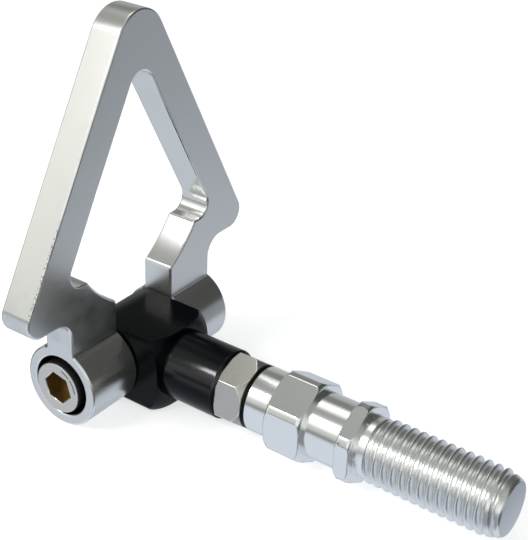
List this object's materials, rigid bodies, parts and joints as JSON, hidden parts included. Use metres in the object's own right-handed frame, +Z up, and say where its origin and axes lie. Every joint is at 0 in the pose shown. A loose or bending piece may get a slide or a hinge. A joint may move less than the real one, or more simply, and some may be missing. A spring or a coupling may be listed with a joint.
{
  "type": "screw-in folding tow eye",
  "caption": "Folding towing loop: a flat triangular eye pinned to a swivel head, held by a lock nut on a hexagonal adapter with a flange and a screw thread.",
  "frame": {"origin": "centre of the flange's seating face, on the thread's axis", "axes": "+X along the thread, out of its free end; +Z up along the standing eye; Y along the hinge pin, with the bolt's head on the -Y side"},
  "size_m": [0.1313, 0.089, 0.1113],
  "materials": {
    "eye_steel": "satin clear anodised, fine-grained edges",
    "black_steel": "gloss black plating",
    "bolt_steel": "zinc plated",
    "nut_steel": "zinc plated, ground flats",
    "adapter_steel": "bright turned and nickel plated"
  },
  "bodies": {
    "shank": {"threaded_adapter": "adapter_steel", "jam_nut": "nut_steel", "swivel_head": "black_steel"},
    "eye": {"eye": "eye_steel", "pivot_bolt": "bolt_steel"}
  },
  "joints": [
    {"name": "eye_fold", "type": "hinge", "parent": "shank", "child": "eye", "pos_m": [-0.0792, 0, 0], "axis": [0, 1, 0], "range_deg": [-258, 78]}
  ]
}
